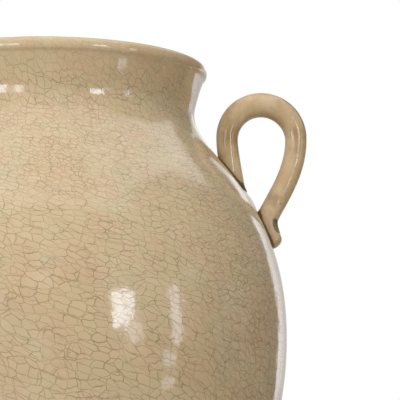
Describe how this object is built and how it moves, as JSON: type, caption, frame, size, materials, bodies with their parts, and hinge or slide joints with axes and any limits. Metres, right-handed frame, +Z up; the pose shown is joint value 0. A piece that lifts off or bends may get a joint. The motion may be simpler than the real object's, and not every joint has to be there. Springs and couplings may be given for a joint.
{
  "type": "two-handled urn",
  "caption": "Round-bellied ceramic urn with a short flared neck, a rolled lip, a foot ring and upright loop handles on the shoulder, in crackled tan glaze.",
  "frame": {"origin": "centre of the foot ring's resting face", "axes": "+Z up the vessel's axis, +X to the right handle, +Y to the back"},
  "size_m": [0.3662, 0.33, 0.4084],
  "materials": {
    "crackle_glaze": "glossy tan glaze with a fine grey-brown crackle",
    "handle_glaze": "glossy tan glaze, thin on the coil and nearly without crackle",
    "bare_clay": "unglazed fired clay"
  },
  "bodies": {
    "root": {"foot_ring": "bare_clay", "lower_body": "crackle_glaze", "upper_body": "crackle_glaze", "neck_collar": "crackle_glaze", "rim_lip": "crackle_glaze", "handle_pad_right": "crackle_glaze", "handle_pad_left": "crackle_glaze", "handle_right": "handle_glaze", "handle_left": "handle_glaze"}
  },
  "joints": []
}
